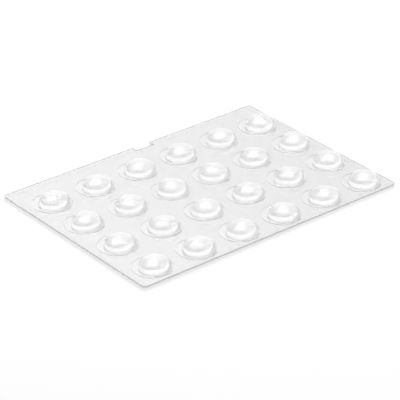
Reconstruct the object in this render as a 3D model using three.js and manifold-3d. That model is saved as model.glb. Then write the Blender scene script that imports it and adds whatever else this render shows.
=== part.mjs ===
// A sheet of clear self-adhesive cabinet door bumpers, as it is sold.
// The bumpers are domes moulded in rows on a thin clear polyurethane sheet, which lies on a clear release
// liner. A round knife has cut each dome free with a thin flange round it, and the rest of the moulded
// sheet, the waste web, is still in place. Each bumper peels off the liner by itself.
// Millimetres. The origin is the middle of the liner's underside, +X runs along the long edges, +Y points
// to the edge with the notch, and +Z is up.

import * as THREE from "three";
import { mergeVertices } from "three/addons/utils/BufferGeometryUtils.js";
import Module from "manifold-3d";

const wasm = await Module();
wasm.setup();

// The pattern of bumpers
const columns = 6;
const rows = 4;
const gapBetweenBumpers = 3.95; // web left between two neighbouring knife cuts

// One bumper
const domeRadius = 4.95;
const domeHeight = 3.9; // crown above the flange
const domeFullness = 2.3; // 2 is an ellipse, and more makes the flanks steeper and the crown flatter
const footFillet = 0.2; // where the dome meets the flange
const leastFlange = 0.05; // flange left outside the fillet, on its narrow side
const domeOffCentreX = 0.2; // the knife cuts out of register, so each dome sits off the middle
const domeOffCentreY = -1.05;

// The sheets
const mouldedThickness = 0.375; // of the web and of the flanges
const linerThickness = 0.125;
const knifeGap = 0.15; // all round a flange
const leftMargin = 2.65; // from the outermost knife cuts to the edges of the sheet
const rightMargin = 1.35;
const frontMargin = 1.3;
const backMargin = 7.05;
const cornerRadius = 1;

// The notch in the back edge
const notchWidth = 6.8;
const notchDepth = 2.2;
const notchFromMiddle = 4; // its middle is this far to the right of the sheet's middle

// How finely round shapes are cut into flats
const arcsInHalfCircle = 12;
const capSteps = 6;
const filletSteps = 2;
const cornerSteps = 4;

// What follows from the sizes above
const footRadius = domeRadius + footFillet;
const offCentre = Math.hypot(domeOffCentreX, domeOffCentreY);
const flangeRadius = footRadius + offCentre + leastFlange;
const pitch = 2 * flangeRadius + gapBetweenBumpers;
const patternLength = (columns - 1) * pitch + 2 * flangeRadius;
const patternWidth = (rows - 1) * pitch + 2 * flangeRadius;
const sheetLength = leftMargin + patternLength + rightMargin;
const sheetWidth = frontMargin + patternWidth + backMargin;

const polyurethane = new THREE.MeshStandardMaterial({
  color: 0xf3f5f5,
  roughness: 0.08,
  metalness: 0,
  transparent: true,
  opacity: 0.45,
});
const webPolyurethane = new THREE.MeshStandardMaterial({
  color: 0xeceeee,
  roughness: 0.2,
  metalness: 0,
  transparent: true,
  opacity: 0.5,
});
const polyesterFilm = new THREE.MeshStandardMaterial({
  color: 0xe6e8e9,
  roughness: 0.15,
  metalness: 0,
  transparent: true,
  opacity: 0.5,
});

// Middle of one bumper's knife cut. Row 1 is next to the notched edge, and column 1 is on the left.
function placeOf(row, column) {
  const x = -sheetLength / 2 + leftMargin + flangeRadius + (column - 1) * pitch;
  const y = sheetWidth / 2 - backMargin - flangeRadius - (row - 1) * pitch;
  return new THREE.Vector2(x, y);
}

// A closed geometry as a solid that can be joined.
function toSolid(geometry) {
  const bare = geometry.clone();
  bare.deleteAttribute("normal");
  bare.deleteAttribute("uv");
  const merged = mergeVertices(bare);
  const vertProperties = new Float32Array(merged.attributes.position.array);
  const triVerts = new Uint32Array(merged.index.array);
  return new wasm.Manifold(new wasm.Mesh({ numProp: 3, vertProperties, triVerts }));
}

// A solid back as a geometry with flat faces.
function toGeometry(solid) {
  const { vertProperties, triVerts } = solid.getMesh();
  const shared = new THREE.BufferGeometry();
  shared.setAttribute("position", new THREE.BufferAttribute(vertProperties, 3));
  shared.setIndex(new THREE.BufferAttribute(triVerts, 1));
  const geometry = shared.toNonIndexed();
  geometry.computeVertexNormals();
  return geometry;
}

// Adds a quarter circle to an outline, anticlockwise from the angle start.
function roundCorner(outline, middleX, middleY, start) {
  for (let step = 0; step <= cornerSteps; step++) {
    const angle = start + (step / cornerSteps) * (Math.PI / 2);
    outline.lineTo(middleX + cornerRadius * Math.cos(angle), middleY + cornerRadius * Math.sin(angle));
  }
}

// The sheet's outline: four straight edges with round corners, and the notch in the back edge.
function sheetOutline() {
  const x = sheetLength / 2;
  const y = sheetWidth / 2;
  const innerX = x - cornerRadius;
  const innerY = y - cornerRadius;
  const notchLeft = notchFromMiddle - notchWidth / 2;
  const notchRight = notchFromMiddle + notchWidth / 2;
  const outline = new THREE.Shape();
  outline.moveTo(notchRight, y - notchDepth);
  outline.lineTo(notchLeft, y - notchDepth);
  outline.lineTo(notchLeft, y);
  roundCorner(outline, -innerX, innerY, Math.PI / 2);
  roundCorner(outline, -innerX, -innerY, Math.PI);
  roundCorner(outline, innerX, -innerY, -Math.PI / 2);
  roundCorner(outline, innerX, innerY, 0);
  outline.lineTo(notchRight, y);
  return outline;
}

// A flat sheet of one outline, with its underside at z = 0.
function flatSheet(outline, thickness) {
  const options = { depth: thickness, bevelEnabled: false, curveSegments: arcsInHalfCircle };
  return new THREE.ExtrudeGeometry(outline, options);
}

function linerGeometry() {
  return flatSheet(sheetOutline(), linerThickness);
}

// The round disc that the knife cuts, which is the flange.
function flangeGeometry() {
  const circle = new THREE.Shape();
  circle.absarc(0, 0, flangeRadius, 0, 2 * Math.PI, false);
  return flatSheet(circle, mouldedThickness);
}

function webGeometry() {
  const outline = sheetOutline();
  for (let row = 1; row <= rows; row++) {
    for (let column = 1; column <= columns; column++) {
      const { x, y } = placeOf(row, column);
      const hole = new THREE.Path();
      hole.absarc(x, y, flangeRadius + knifeGap, 0, 2 * Math.PI, true);
      outline.holes.push(hole);
    }
  }
  return flatSheet(outline, mouldedThickness);
}

// Half the dome's section, from the axis inside the flange, out round the foot fillet and up to the crown.
function domeProfile() {
  const root = mouldedThickness / 2; // half way into the flange, so that the two join
  const points = [new THREE.Vector2(0, root), new THREE.Vector2(footRadius, root)];
  for (let step = 0; step < filletSteps; step++) {
    const angle = (step / filletSteps) * (Math.PI / 2);
    const r = footRadius - footFillet * Math.sin(angle);
    const z = mouldedThickness + footFillet * (1 - Math.cos(angle));
    points.push(new THREE.Vector2(r, z));
  }
  const capHeight = domeHeight - footFillet;
  for (let step = 0; step < capSteps; step++) {
    const angle = (step / capSteps) * (Math.PI / 2);
    const r = domeRadius * Math.cos(angle) ** (2 / domeFullness);
    const z = mouldedThickness + footFillet + capHeight * Math.sin(angle) ** (2 / domeFullness);
    points.push(new THREE.Vector2(r, z));
  }
  points.push(new THREE.Vector2(0, mouldedThickness + domeHeight));
  return points;
}

// One moulding: the dome on its flange. The flange's middle is at the origin.
function bumperGeometry() {
  const dome = new THREE.LatheGeometry(domeProfile(), 2 * arcsInHalfCircle);
  dome.rotateX(Math.PI / 2);
  dome.translate(domeOffCentreX, domeOffCentreY, 0);
  return toGeometry(toSolid(flangeGeometry()).add(toSolid(dome)));
}

function namedMesh(name, geometry, material) {
  const mesh = new THREE.Mesh(geometry, material);
  mesh.name = name;
  return mesh;
}

const sheet = new THREE.Group();
sheet.add(namedMesh("release_liner", linerGeometry(), polyesterFilm));

const moulded = new THREE.Group();
moulded.position.z = linerThickness;
moulded.add(namedMesh("waste_web", webGeometry(), webPolyurethane));

const oneBumper = bumperGeometry();
for (let row = 1; row <= rows; row++) {
  for (let column = 1; column <= columns; column++) {
    const bumper = namedMesh(`bumper_r${row}_c${column}`, oneBumper, polyurethane);
    const { x, y } = placeOf(row, column);
    bumper.position.set(x, y, 0);
    moulded.add(bumper);
  }
}
sheet.add(moulded);

export default sheet;
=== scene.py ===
# %% [markdown]
# # A sheet of clear cabinet door bumpers
# The object is a clear sheet with 24 small domes on it. Each dome is a self-adhesive bumper, cast in
# polyurethane together with the thin sheet around it. A round knife has cut each one free, and all of it
# lies on a clear release liner until the bumpers are peeled off one by one.
# Everything here is transparent, so the picture is made by shape and light: what each curved surface bends
# or mirrors towards the camera. The lesson is therefore about true curves, true refraction and a big soft
# light, and hardly about colour.

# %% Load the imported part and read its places
import math

import bpy
import numpy as np
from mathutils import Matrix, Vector
from mathutils.geometry import delaunay_2d_cdt


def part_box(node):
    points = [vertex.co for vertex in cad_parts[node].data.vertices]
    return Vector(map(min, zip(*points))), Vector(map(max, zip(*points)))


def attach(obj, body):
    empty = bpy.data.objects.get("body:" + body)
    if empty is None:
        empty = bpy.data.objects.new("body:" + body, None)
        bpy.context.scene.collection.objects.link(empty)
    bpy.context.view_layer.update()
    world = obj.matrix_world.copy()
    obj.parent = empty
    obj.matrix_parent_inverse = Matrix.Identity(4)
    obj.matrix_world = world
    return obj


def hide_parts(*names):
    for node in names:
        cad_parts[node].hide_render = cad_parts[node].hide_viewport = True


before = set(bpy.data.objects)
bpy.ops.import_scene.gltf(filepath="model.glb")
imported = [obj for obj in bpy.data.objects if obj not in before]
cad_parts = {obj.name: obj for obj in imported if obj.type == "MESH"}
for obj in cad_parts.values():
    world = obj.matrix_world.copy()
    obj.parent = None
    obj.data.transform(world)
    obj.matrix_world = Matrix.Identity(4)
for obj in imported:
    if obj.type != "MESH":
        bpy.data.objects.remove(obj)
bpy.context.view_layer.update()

scene = bpy.context.scene
scene.view_settings.view_transform = "Standard"

MM = 0.001
ROWS, COLUMNS = 4, 6
BUMPERS = [f"bumper_r{row}_c{column}" for row in range(1, ROWS + 1) for column in range(1, COLUMNS + 1)]

low, high = (np.array(corner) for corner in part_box("release_liner"))
liner_top = high[2]
half_length, half_width = (high - low)[:2] / 2
flange_boxes = np.array([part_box(name) for name in BUMPERS])
flange_middles = flange_boxes.mean(axis=1)[:, :2]
flange_radius = (flange_boxes[0, 1, 0] - flange_boxes[0, 0, 0]) / 2
web_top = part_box("waste_web")[1][2]
crown_top = flange_boxes[0, 1, 2]
print("sheet", np.round((high - low) / MM, 3), "mm, flange radius", round(flange_radius / MM, 3), "mm")

# %% [markdown]
# ## Camera
# The camera was matched to the photograph with the sheet's corners and the grid of domes. It is a long lens
# seven tenths of a metre away, which looks down at the sheet at a shallow angle, so that parallel edges stay
# nearly parallel.

# %% Camera
AZIMUTH, ELEVATION = math.radians(-39.21), math.radians(28.76)
DISTANCE = 697 * MM
LOOKED_AT = np.array([-3.86, -4.44, 0.0]) * MM
FOCAL_LENGTH_IN_FRAMES = 2274.4 / 400  # focal length over the width of the picture

camera_right = np.array([math.cos(AZIMUTH), math.sin(AZIMUTH), 0])
camera_side = np.array([math.sin(AZIMUTH), -math.cos(AZIMUTH), 0])  # level, towards the camera
camera_back = camera_side * math.cos(ELEVATION) + np.array([0, 0, math.sin(ELEVATION)])

camera_data = bpy.data.cameras.new("camera")
camera_data.sensor_width = 36
camera_data.lens = camera_data.sensor_width * FOCAL_LENGTH_IN_FRAMES
camera_data.clip_start = 0.01
camera = bpy.data.objects.new("camera", camera_data)
camera.location = LOOKED_AT + DISTANCE * camera_back
camera.rotation_euler = (math.pi / 2 - ELEVATION, 0, AZIMUTH)
scene.collection.objects.link(camera)
scene.camera = camera
print("lens", round(camera_data.lens, 1), "mm")

# %% [markdown]
# ## Light
# The sheet's soft shadow falls towards the camera, so the light comes from above and behind. One panel gives
# it, nearly as wide as it is far away, so that the shadow is dark only close to the edge that casts it.
# Glass does not show the lamp itself: what reflections and refractions see is painted on the room around it,
# further down, so that the two can be matched to the photograph one at a time.

# %% Light panel
PANEL_AZIMUTH, PANEL_ELEVATION = math.radians(5), math.radians(42)  # azimuth to the right of straight away
PANEL_DISTANCE, PANEL_SIZE = 1.2, (1.1, 1.1)
PANEL_LIGHT = 0.60  # how bright it alone makes a white floor, where 1 is white

panel_side = math.sin(PANEL_AZIMUTH) * camera_right - math.cos(PANEL_AZIMUTH) * camera_side
toward_panel = math.cos(PANEL_ELEVATION) * panel_side + math.sin(PANEL_ELEVATION) * np.array([0, 0, 1])
panel_data = bpy.data.lights.new("light_panel", "AREA")
panel_data.shape = "RECTANGLE"
panel_data.size, panel_data.size_y = PANEL_SIZE
# light on the floor = power * sin(elevation) / (pi * distance^2), and pi of it makes white
panel_data.energy = PANEL_LIGHT * math.pi ** 2 * PANEL_DISTANCE ** 2 / math.sin(PANEL_ELEVATION)
panel = bpy.data.objects.new("light_panel", panel_data)
panel.location = PANEL_DISTANCE * toward_panel
panel.rotation_euler = Vector(toward_panel).to_track_quat("Z", "Y").to_euler()
panel.visible_camera = panel.visible_glossy = panel.visible_transmission = False
scene.collection.objects.link(panel)
print("light panel", round(panel_data.energy, 1), "W")

# %% [markdown]
# ## Nodes and colours
# Nodes are added through one helper, which takes a node's type, its settings and what is plugged into it.
# Colours are written as on a screen, in sRGB, and turned to the linear values that Blender works in.


# %% Helpers for nodes and colours
def linear(hex_colour):
    """sRGB hex to linear RGBA: divide by 12.92 near black, and above that a power of 2.4."""
    srgb = np.array([int(hex_colour[i:i + 2], 16) for i in (1, 3, 5)]) / 255
    return (*np.where(srgb <= 0.04045, srgb / 12.92, ((srgb + 0.055) / 1.055) ** 2.4), 1.0)


def add(tree, kind, settings=None, **inputs):
    """One node: settings are its attributes. An input is a value, or (node, output) for a link, and its key
    is the socket's name, or i and the socket's number."""
    made = tree.nodes.new(kind)
    for name, value in (settings or {}).items():
        setattr(made, name, value)
    for name, value in inputs.items():
        key = int(name[1:]) if name[0] == "i" and name[1:].isdigit() else name.replace("_", " ")
        if isinstance(value, tuple) and isinstance(value[0], bpy.types.Node):
            tree.links.new(value[0].outputs[value[1]], made.inputs[key])
        else:
            made.inputs[key].default_value = value
    return made


def new_material(name):
    """An empty material and its node tree."""
    material = bpy.data.materials.new(name)
    material.use_nodes = True
    material.node_tree.nodes.clear()
    return material, material.node_tree


print("white", [round(float(part), 3) for part in linear("#ffffff")])

# %% [markdown]
# ## White room
# The camera sees pure white behind the sheet. Reflections and refractions see a white room, in which a few
# cards are lighter or darker than the rest. Each is a soft-edged rectangle in azimuth and elevation, and
# each was found by following the camera's rays through a dome and out of its back. A dome turns the room
# round: its left flank sees the room's right side, and its foot sees the lowest band.
# The light panel and the pale band under it make the two bright patches on every dome, and the dark cards
# make the lines around them. All but the panel bow upwards at their ends, as cards do that stand in a curve
# round the sheet, and this bends the bright patch at the foot into a smile.

# %% World
ROOM_LIGHT = 0.45  # how bright the room alone makes a white floor
ROOM = 0.92  # the room's own radiance, as glass shows it
CARDS = [  # in degrees azimuths to the right of straight away, elevations and soft edge; change of radiance
    (-90, 90, -60, 10.5, 3, -0.13),  # low wall: the line round a dome's foot
    (-45, 60, 14, 23.5, 3, 0.26),  # pale band: the smile
    (-14, 60, 25, 30.5, 3, -0.21),  # dark band over it: the arc between smile and highlight
    (-90, -28, 2, 15, 4, -0.18),  # left wall: the rim at a dome's lower right
    (30, 90, 27, 60, 5, -0.14),  # right wall: a dome's grey left flank
]
LIGHT_CARD = (-9, 23, 37, 80, 3, 0.33)  # the light panel as glass shows it: the highlight
BOW_MIDDLE = math.radians(12)
BOW_LEFT, BOW_RIGHT = 0.24, 0.05  # a card's edges rise by this times the squared angle from the bow's middle

world = bpy.data.worlds.new("white_room")
scene.world = world
world.use_nodes = True
tree = world.node_tree
tree.nodes.clear()
direction = add(tree, "ShaderNodeTexCoord")
DOT = {"operation": "DOT_PRODUCT"}
across = add(tree, "ShaderNodeVectorMath", DOT, i0=(direction, "Generated"), i1=tuple(camera_right))
away = add(tree, "ShaderNodeVectorMath", DOT, i0=(direction, "Generated"), i1=tuple(-camera_side))
height = add(tree, "ShaderNodeSeparateXYZ", i0=(direction, "Generated"))
azimuth = add(tree, "ShaderNodeMath", {"operation": "ARCTAN2"}, i0=(across, "Value"), i1=(away, "Value"))
elevation = add(tree, "ShaderNodeMath", {"operation": "ARCSINE"}, i0=(height, "Z"))
turn = add(tree, "ShaderNodeMath", {"operation": "SUBTRACT"}, i0=(azimuth, 0), i1=BOW_MIDDLE)
bowed = elevation
for limit, rise in (("MINIMUM", BOW_LEFT), ("MAXIMUM", BOW_RIGHT)):
    one_side = add(tree, "ShaderNodeMath", {"operation": limit}, i0=(turn, 0), i1=0.0)
    squared = add(tree, "ShaderNodeMath", {"operation": "POWER"}, i0=(one_side, 0), i1=2.0)
    bowed = add(tree, "ShaderNodeMath", {"operation": "MULTIPLY_ADD"}, i0=(squared, 0), i1=-rise,
                i2=(bowed, 0))


def window(angle, start, end, soft):
    """1 between two angles and 0 outside them, with smooth steps of soft to either side; all in degrees."""
    start, end, soft = map(math.radians, (start, end, soft))
    rise = add(tree, "ShaderNodeMapRange", {"interpolation_type": "SMOOTHSTEP"}, Value=(angle, 0),
               From_Min=start - soft, From_Max=start + soft)
    fall = add(tree, "ShaderNodeMapRange", {"interpolation_type": "SMOOTHSTEP"}, Value=(angle, 0),
               From_Min=end - soft, From_Max=end + soft, To_Min=1.0, To_Max=0.0)
    return add(tree, "ShaderNodeMath", {"operation": "MULTIPLY"}, i0=(rise, 0), i1=(fall, 0))


radiance = add(tree, "ShaderNodeValue")
radiance.outputs[0].default_value = ROOM
for card_height, card in [(elevation, LIGHT_CARD)] + [(bowed, card) for card in CARDS]:
    left, right, low_edge, high_edge, soft, change = card
    inside = add(tree, "ShaderNodeMath", {"operation": "MULTIPLY"},
                 i0=(window(azimuth, left, right, soft), 0),
                 i1=(window(card_height, low_edge, high_edge, soft), 0))
    radiance = add(tree, "ShaderNodeMath", {"operation": "MULTIPLY_ADD"}, i0=(inside, 0), i1=change,
                   i2=(radiance, 0))
seen_room = add(tree, "ShaderNodeBackground", Color=linear("#ffffff"), Strength=(radiance, 0))
seen_white = add(tree, "ShaderNodeBackground", Color=linear("#ffffff"))
plain_light = add(tree, "ShaderNodeBackground", Color=linear("#ffffff"), Strength=ROOM_LIGHT)
path = add(tree, "ShaderNodeLightPath")
through_glass = add(tree, "ShaderNodeMath", {"operation": "MAXIMUM"}, i0=(path, "Is Glossy Ray"),
                    i1=(path, "Is Transmission Ray"))
either = add(tree, "ShaderNodeMixShader", i0=(through_glass, 0), i1=(plain_light, 0), i2=(seen_room, 0))
either = add(tree, "ShaderNodeMixShader", i0=(path, "Is Camera Ray"), i1=(either, 0), i2=(seen_white, 0))
add(tree, "ShaderNodeOutputWorld", Surface=(either, 0))
print("white room with", len(CARDS) + 1, "cards")

# %% [markdown]
# ## Floor
# The sheet lies on white board. The board is lit nearly to white and keeps the sheet's soft shadow, and a
# little light of its own, which the camera and reflections see, lifts it the rest of the way.
# Under clear plastic the board is darker, because each surface keeps some of the lamp's light. Real plastic
# hands part of it back by scattering and bending. Here painted light stands for that: the board glows where
# it is seen through plastic, and this painted glow is brighter at the sheet's left end and falls off towards
# its right.

# %% Floor
FLOOR_HALF = 4.0
AIR_UNDER_LINER = 0.4 * MM  # film never lies quite flat
FLOOR_GLOW = 0.22
# painted light: the board's glow as only glass sees it, brighter at the left end than at the right
FLOOR_GLOW_THROUGH_PLASTIC = 0.40, 0.19  # at the sheet's left and right end

board, tree = new_material("white_board")
diffuse = add(tree, "ShaderNodeBsdfDiffuse", Color=linear("#f4f4f4"))
path = add(tree, "ShaderNodeLightPath")
direct = add(tree, "ShaderNodeMath", {"operation": "MAXIMUM"}, i0=(path, "Is Camera Ray"),
             i1=(path, "Is Glossy Ray"))
direct = add(tree, "ShaderNodeMath", {"operation": "MULTIPLY"}, i0=(direct, 0), i1=FLOOR_GLOW)
place = add(tree, "ShaderNodeTexCoord")
place = add(tree, "ShaderNodeSeparateXYZ", i0=(place, "Object"))
through = add(tree, "ShaderNodeMapRange", Value=(place, "X"), From_Min=-half_length, From_Max=half_length,
              To_Min=FLOOR_GLOW_THROUGH_PLASTIC[0], To_Max=FLOOR_GLOW_THROUGH_PLASTIC[1])
# painted light, seen only through plastic, graded from the sheet's left end to its right
strength = add(tree, "ShaderNodeMath", {"operation": "MULTIPLY_ADD"}, i0=(path, "Is Transmission Ray"),
               i1=(through, 0), i2=(direct, 0))
glow = add(tree, "ShaderNodeEmission", Color=linear("#ffffff"), Strength=(strength, 0))
both = add(tree, "ShaderNodeAddShader", i0=(diffuse, 0), i1=(glow, 0))
add(tree, "ShaderNodeOutputMaterial", Surface=(both, 0))

floor_mesh = bpy.data.meshes.new("floor")
square = np.array([(-1, -1), (1, -1), (1, 1), (-1, 1)]) * FLOOR_HALF
floor_mesh.from_pydata([(x, y, low[2] - AIR_UNDER_LINER) for x, y in square], [], [(0, 1, 2, 3)])
floor_mesh.materials.append(board)
floor = bpy.data.objects.new("floor", floor_mesh)
scene.collection.objects.link(floor)
print("floor", round(AIR_UNDER_LINER / MM, 2), "mm under the liner")

# %% [markdown]
# ## Clear plastics
# The bumpers and the web are one casting: a two-part polyurethane that flows out in the mould and cures
# glass clear. Its surface is glossy but never optically flat, with slow waves a few millimetres long, and
# handling leaves faint hazy patches. It refracts a little less than window glass. The liner is polyester
# film, which refracts more.
# The knife leaves a satin edge, which is the same plastic with a rough surface. Round a bumper the two cut
# faces still touch over most of their height, so most light crosses the cut as if it weren't there.
# The acrylic adhesive under the casting is clear with a slight haze. It matters more than it seems: light
# that enters a dome near its foot would be mirrored there again and again, and the haze lets it out.
# Real clear plastic lets most light through to what it lies on. Following that light through every dome
# takes many samples, so the lamp's rays go straight through, weakened a little at each surface and slightly
# more where they graze it.

# %% Plastics
POLYURETHANE_IOR, POLYESTER_IOR = 1.49, 1.57
NOISE_FROM, NOISE_TO = 0.35, 0.7  # where nearly all values of a noise texture lie
GRAZING_BLEND = 0.3  # how soon a surface counts as grazed, from 0 late to 1 soon
GRAZING_SHARE = 0.97  # what a grazing ray keeps of what a straight one keeps


def clear_plastic(name, colour, ior, haze, haze_size, wave_size, wave_height, passing, clearness,
                  closed=0.0):
    """A clear solid. Its roughness runs over the range haze, in patches of haze_size, and its surface has
    waves of wave_size and wave_height; metres. Each surface passes the share passing of a lamp's light.
    The share clearness refracts, and the rest scatters light like frost. The share closed touches the
    plastic next to it, so that all light goes straight on."""
    material, tree = new_material(name)
    place = add(tree, "ShaderNodeTexCoord")
    patches = add(tree, "ShaderNodeTexNoise", Vector=(place, "Object"), Scale=1 / haze_size, Detail=3.0)
    roughness = add(tree, "ShaderNodeMapRange", Value=(patches, 0), From_Min=NOISE_FROM, From_Max=NOISE_TO,
                    To_Min=haze[0], To_Max=haze[1])
    waves = add(tree, "ShaderNodeTexNoise", Vector=(place, "Object"), Scale=1 / wave_size, Detail=1.0)
    bump = add(tree, "ShaderNodeBump", Height=(waves, 0), Strength=1.0, Distance=wave_height)
    surface = add(tree, "ShaderNodeBsdfPrincipled", Base_Color=linear(colour), IOR=ior,
                  Transmission_Weight=clearness, Roughness=(roughness, 0), Normal=(bump, 0))
    grazing = add(tree, "ShaderNodeLayerWeight", Blend=GRAZING_BLEND)
    grey = add(tree, "ShaderNodeMapRange", Value=(grazing, "Facing"), To_Min=passing,
               To_Max=GRAZING_SHARE * passing)
    clear = add(tree, "ShaderNodeBsdfTransparent", Color=(grey, 0))
    path = add(tree, "ShaderNodeLightPath")
    straight = add(tree, "ShaderNodeMath", {"operation": "MAXIMUM"}, i0=(path, "Is Shadow Ray"),
                   i1=(path, "Is Diffuse Ray"))
    straight = add(tree, "ShaderNodeMath", {"operation": "MAXIMUM"}, i0=(straight, 0), i1=closed)
    either = add(tree, "ShaderNodeMixShader", i0=(straight, 0), i1=(surface, 0), i2=(clear, 0))
    add(tree, "ShaderNodeOutputMaterial", Surface=(either, 0))
    return material


polyurethane = clear_plastic(  # the domes and flanges: waves of 4 micrometres, 5 mm long
    "cast_clear_polyurethane", "#fdfdfd", POLYURETHANE_IOR, haze=(0.0, 0.04), haze_size=3 * MM,
    wave_size=5 * MM, wave_height=0.004 * MM, passing=0.975, clearness=0.94)
web_polyurethane = clear_plastic(  # the same casting, but floppy and handled
    "cast_clear_polyurethane_web", "#fbfbfb", POLYURETHANE_IOR, haze=(0.02, 0.08), haze_size=4 * MM,
    wave_size=9 * MM, wave_height=0.02 * MM, passing=0.91, clearness=0.96)
cut_polyurethane = clear_plastic(  # the sheet's cut edges, with marks under half a millimetre long
    "knife_cut_polyurethane", "#f6f6f6", POLYURETHANE_IOR, haze=(0.35, 0.5), haze_size=0.5 * MM,
    wave_size=0.4 * MM, wave_height=0.01 * MM, passing=0.3, clearness=0.15)
closed_cut = clear_plastic(  # the cuts round the bumpers, closed over most of their height
    "closed_knife_cut_polyurethane", "#f6f6f6", POLYURETHANE_IOR, haze=(0.35, 0.5), haze_size=0.5 * MM,
    wave_size=0.4 * MM, wave_height=0.01 * MM, passing=0.9, clearness=0.15, closed=0.7)
adhesive = clear_plastic(
    "acrylic_adhesive_film", "#fbfbfb", POLYURETHANE_IOR, haze=(0.05, 0.15), haze_size=3 * MM,
    wave_size=6 * MM, wave_height=0.01 * MM, passing=0.97, clearness=0.7)
polyester = clear_plastic(  # the liner: stiffer, with longer waves
    "silicone_coated_polyester_film", "#fbfbfb", POLYESTER_IOR, haze=(0.02, 0.08), haze_size=6 * MM,
    wave_size=20 * MM, wave_height=0.03 * MM, passing=0.91, clearness=0.96)
print("materials", sorted(material.name for material in bpy.data.materials))

# %% [markdown]
# ## A piece and its faces
# Each moulding has three kinds of surface. What the mould touched is smooth, what the knife cut is upright
# and satin, and what lies on the liner is coated with adhesive. They could be painted on by hand. Here each
# face's own direction and place say what it is, so the same rule serves all 26 pieces. The liner has the
# cut edge too, but no adhesive.

# %% Turning a mesh into a piece
ADHESIVE_GAP = 0.01 * MM  # keeps the faces of two plastics out of one plane
KNIFE_GAP = 0.006 * MM  # the soft plastic closes up behind the knife
KNIFE_EDGE = 0.004 * MM  # rounding along the knife cuts
EDGE = 0.03 * MM  # rounding along the edges of the sheet
LEVEL = 0.9  # a face is level where its normal's upward part is at least this
AROUND_FLANGE = KNIFE_GAP + 3 * KNIFE_EDGE  # upright faces this close outside a flange belong to its cut


def face_values(mesh, kind):
    """The normal or the center of every face."""
    values = np.empty(3 * len(mesh.polygons))
    mesh.polygons.foreach_get(kind, values)
    return values.reshape(-1, 3)


def as_piece(name, mesh, material):
    """Puts a smooth-shaded mesh into the scene as a piece of the part's one body. Upright faces up to the
    web's top are cut, and those round a flange are closed cuts. Level faces that look down, other than the
    liner's, are coated with adhesive. All the rest is of the given material."""
    for each in (material, cut_polyurethane, closed_cut, adhesive):
        mesh.materials.append(each)
    mesh.validate()
    middles = face_values(mesh, "center")
    upward = face_values(mesh, "normal")[:, 2]
    cut = (abs(upward) < LEVEL) & (middles[:, 2] < web_top)
    coated = (upward < -LEVEL) & (middles[:, 2] > liner_top)
    from_flange = np.linalg.norm(middles[:, None, :2] - flange_middles[None], axis=-1).min(axis=1)
    closed = from_flange < flange_radius + AROUND_FLANGE
    kind = np.select([cut & closed, cut, coated], [2, 1, 3], 0)
    mesh.polygons.foreach_set("use_smooth", np.ones(len(middles), dtype=bool))
    mesh.polygons.foreach_set("material_index", kind.astype(np.int32))
    piece = bpy.data.objects.new(name, mesh)
    scene.collection.objects.link(piece)
    # flat faces keep their own normals, and only the small roundings between them blend
    piece.modifiers.new("flat_faces_first", "WEIGHTED_NORMAL").mode = "FACE_AREA"
    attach(piece, "root")
    return piece


# %% [markdown]
# ## Roundings
# Nothing that a knife cuts has a perfectly sharp corner, and a corner shows as a line only when it is
# rounded enough to catch light. The upright edge of every sheet and flange is therefore one small profile: a
# quarter circle, a straight wall and another quarter circle.


# %% Profile of an upright edge
def quarter(steps):
    """Angles from 0 to a right angle."""
    return np.linspace(0, math.pi / 2, steps + 1)


def rounded_edge(bottom, top, rounding):
    """How far each point of the edge stands in, and its height: rounding * (1 - sin, 1 - cos) at the bottom
    and the same upside down at the top."""
    a = quarter(3)
    inset = rounding * np.r_[1 - np.sin(a), 1 - np.cos(a)]
    height = np.r_[bottom + rounding * (1 - np.cos(a)), top - rounding * (1 - np.sin(a))]
    return inset, height


print("edge of the liner, mm", np.round(np.c_[rounded_edge(low[2], liner_top, EDGE)] / MM, 3).tolist())

# %% [markdown]
# ## One bumper
# A bumper is a dome on a thin round flange, and the dome sits off the flange's middle because the knife did
# not cut in register with the mould. It could be a dome and a disc joined by a boolean, but the join would
# be rough. Instead one closed skin is drawn as nested circles: every circle has a radius, a height and a
# middle, and the middle slides from the flange's to the dome's on the way in.

# %% Bumpers
DOME_RADIUS = 4.95 * MM
FOOT_FILLET = 0.2 * MM
FULLNESS = 2.3  # the dome's section is an ellipse with this power instead of 2
DOME_OFF_CENTRE = np.array([0.2, -1.05]) * MM
AROUND = 96
FILLET_STEPS, CAP_STEPS = 5, 30
# the flat faces' circles crowd at their rims, so that shading stays flat between them
UNDERSIDE_SHARES = np.array([0.3, 0.7, 0.97])  # of the way from the middle out to the edge
FLANGE_SHARES = np.array([0.03, 0.2, 0.5, 0.8, 0.97])  # of the way from the edge in to the dome


def bumper_circles():
    """Columns radius, height, share: share is 0 on the flange's middle and 1 on the dome's middle. The dome
    is radius * cos(a)^(2/n) out and height * sin(a)^(2/n) up, where n is the fullness."""
    bottom, top = liner_top + ADHESIVE_GAP, web_top
    flat_radius = flange_radius - KNIFE_EDGE
    foot = DOME_RADIUS + FOOT_FILLET
    out = UNDERSIDE_SHARES * flat_radius
    underside = np.c_[out, bottom + 0 * out, 0 * out]
    inset, height = rounded_edge(bottom, top, KNIFE_EDGE)
    edge = np.c_[flange_radius - inset, height, 0 * inset]
    share = FLANGE_SHARES
    flange = np.c_[(1 - share) * flat_radius + share * foot, top + 0 * share, share]
    a = quarter(FILLET_STEPS)
    fillet = np.c_[foot - FOOT_FILLET * np.sin(a), top + FOOT_FILLET * (1 - np.cos(a)), 0 * a + 1]
    a = quarter(CAP_STEPS)[1:-1]
    cap_height = crown_top - top - FOOT_FILLET
    cap = np.c_[DOME_RADIUS * np.cos(a) ** (2 / FULLNESS),
                top + FOOT_FILLET + cap_height * np.sin(a) ** (2 / FULLNESS), 0 * a + 1]
    return np.vstack([underside, edge, flange, fillet, cap])


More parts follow.
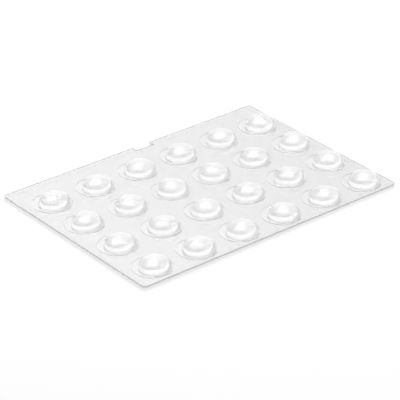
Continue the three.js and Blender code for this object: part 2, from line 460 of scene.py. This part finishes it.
def skin(name, circles, middle, material):
    """A closed skin through nested circles: point = middle + share * offset + radius * (cos u, sin u)."""
    u = np.arange(AROUND) * 2 * math.pi / AROUND
    radius, height, share = (column[:, None] for column in circles.T)
    x = middle[0] + share * DOME_OFF_CENTRE[0] + radius * np.cos(u)
    y = middle[1] + share * DOME_OFF_CENTRE[1] + radius * np.sin(u)
    rings = np.stack([x, y, height + 0 * x], axis=-1).reshape(-1, 3)
    under = [middle[0], middle[1], circles[0, 1]]
    crown = [middle[0] + DOME_OFF_CENTRE[0], middle[1] + DOME_OFF_CENTRE[1], crown_top]
    points = np.vstack([rings, under, crown])
    ring, step = np.meshgrid(np.arange(len(circles) - 1), np.arange(AROUND), indexing="ij")
    a, b = ring * AROUND + step, ring * AROUND + (step + 1) % AROUND
    quads = np.stack([a, b, b + AROUND, a + AROUND], axis=-1).reshape(-1, 4)
    step = np.arange(AROUND)
    after, last = (step + 1) % AROUND, (len(circles) - 1) * AROUND
    fan_under = np.c_[after, step, np.full(AROUND, len(rings))]
    fan_crown = np.c_[last + step, last + after, np.full(AROUND, len(rings) + 1)]
    mesh = bpy.data.meshes.new(name)
    mesh.from_pydata(points.tolist(), [], quads.tolist() + fan_under.tolist() + fan_crown.tolist())
    return as_piece(name, mesh, material)


circles = bumper_circles()
for name, middle in zip(BUMPERS, flange_middles):
    piece = skin("clear_" + name, circles, middle, polyurethane)
    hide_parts(name)
print(len(BUMPERS), "bumpers,", len(piece.data.polygons), "faces each")

# %% [markdown]
# ## Outlines of web and liner
# The web and the liner are flat sheets with one outline: straight edges, small round corners and the notch.
# The web also has a round hole for every bumper. Outline and holes are closed loops of points, each of which
# can be asked for a little further in, and that is how the edge profile is carried round them.

# %% Outlines
CORNER_RADIUS = 1.0 * MM
CORNER_STEPS = 8
NOTCH_MIDDLE, NOTCH_WIDTH, NOTCH_DEPTH = 4.0 * MM, 6.8 * MM, 2.2 * MM


def sheet_outline(inset):
    """The outline anticlockwise, moved inwards by inset: four corner arcs, then the notch."""
    notch_left = NOTCH_MIDDLE - NOTCH_WIDTH / 2 - inset
    notch_right = NOTCH_MIDDLE + NOTCH_WIDTH / 2 + inset
    notch = np.array([(notch_right, half_width - inset), (notch_right, half_width - NOTCH_DEPTH - inset),
                      (notch_left, half_width - NOTCH_DEPTH - inset), (notch_left, half_width - inset)])
    arcs = []
    for turn, (side_x, side_y) in enumerate([(1, 1), (-1, 1), (-1, -1), (1, -1)]):
        a = quarter(CORNER_STEPS) + turn * math.pi / 2
        middle = np.array([side_x * (half_length - CORNER_RADIUS), side_y * (half_width - CORNER_RADIUS)])
        arcs.append(middle + (CORNER_RADIUS - inset) * np.c_[np.cos(a), np.sin(a)])
    return np.vstack([arcs[0], notch, *arcs[1:]])


def hole_outline(middle, inset):
    """A knife hole clockwise, widened by inset, so that the web is on its left like the outline's."""
    u = -np.arange(AROUND) * 2 * math.pi / AROUND
    return middle + (flange_radius + KNIFE_GAP + inset) * np.c_[np.cos(u), np.sin(u)]


def next_on_loop(counts):
    """For each point the number of the next one on its own closed loop; counts are the loops' lengths."""
    starts = np.cumsum([0] + counts[:-1])
    return np.concatenate([start + (np.arange(count) + 1) % count for start, count in zip(starts, counts)])


print("outline", len(sheet_outline(0)), "points, knife hole", AROUND, "points")

# %% [markdown]
# ## Web and liner
# The profile carried round each loop makes the upright edges. The flat faces between the loops are filled
# by a Delaunay triangulation, which joins the points it is given and never moves them, so the faces meet the
# edges point by point and the sheet is closed. It also fills the notch and the holes, and those triangles
# are taken out again.

# %% Sheets
FLAT_RIM = 3 * EDGE  # a narrow flat strip between the rounding and the wide flat face
CLOSENESS = 1e-6  # points nearer than this, in millimetres, would count as one


def flat_fill(loops):
    """Triangles over the loops' points: the whole triangulation, less what lies in the notch or a hole."""
    points = np.vstack(loops)
    counts = [len(loop) for loop in loops]
    edges = np.c_[np.arange(len(points)), next_on_loop(counts)].tolist()
    # the triangulation's own tolerances are meant for numbers near 1, so it works in millimetres
    found = delaunay_2d_cdt((points / MM).tolist(), edges, [], 0, CLOSENESS, True)
    assert len(found[0]) == len(points), "the triangulation added or merged points"
    back = np.array([original[0] for original in found[3]])
    triangles = back[np.array(found[2])]
    centre = points[triangles].mean(axis=1)
    in_notch = ((abs(centre[:, 0] - NOTCH_MIDDLE) < NOTCH_WIDTH / 2)
                & (centre[:, 1] > half_width - NOTCH_DEPTH))
    # a triangle with all its corners on one round hole lies in that hole
    loop_of = np.repeat(np.arange(len(loops)), counts)[triangles]
    in_hole = (loop_of[:, 0] > 0) & (loop_of == loop_of[:, :1]).all(axis=1)
    return triangles[~in_notch & ~in_hole]


def flat_sheet(name, bottom, top, holes, material):
    """Loops carried through the rounded edge profile, bottom to top, closed by two flat fills."""
    inset, height = rounded_edge(bottom, top, EDGE)
    insets, heights = np.r_[FLAT_RIM, inset, FLAT_RIM], np.r_[bottom, height, top]
    layers = [[sheet_outline(inset)] + [hole_outline(middle, inset * KNIFE_EDGE / EDGE) for middle in holes]
              for inset in insets]
    counts = [len(loop) for loop in layers[0]]
    per_layer = sum(counts)
    flat_points = np.vstack([np.vstack(layer) for layer in layers])
    points = np.c_[flat_points, np.repeat(heights, per_layer)]
    at, following = np.arange(per_layer), next_on_loop(counts)
    step = np.arange(len(insets) - 1)[:, None] * per_layer
    quads = np.stack([step + at, step + following, step + following + per_layer, step + at + per_layer],
                     axis=-1).reshape(-1, 4)
    under = flat_fill(layers[0])[:, ::-1]
    over = flat_fill(layers[-1]) + (len(insets) - 1) * per_layer
    mesh = bpy.data.meshes.new(name)
    mesh.from_pydata(points.tolist(), [], quads.tolist() + under.tolist() + over.tolist())
    return as_piece(name, mesh, material)


liner = flat_sheet("clear_release_liner", low[2], liner_top, [], polyester)
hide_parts("release_liner")
web = flat_sheet("clear_waste_web", liner_top + ADHESIVE_GAP, web_top, flange_middles, web_polyurethane)
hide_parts("waste_web")
print("web", len(web.data.polygons), "faces, liner", len(liner.data.polygons), "faces")
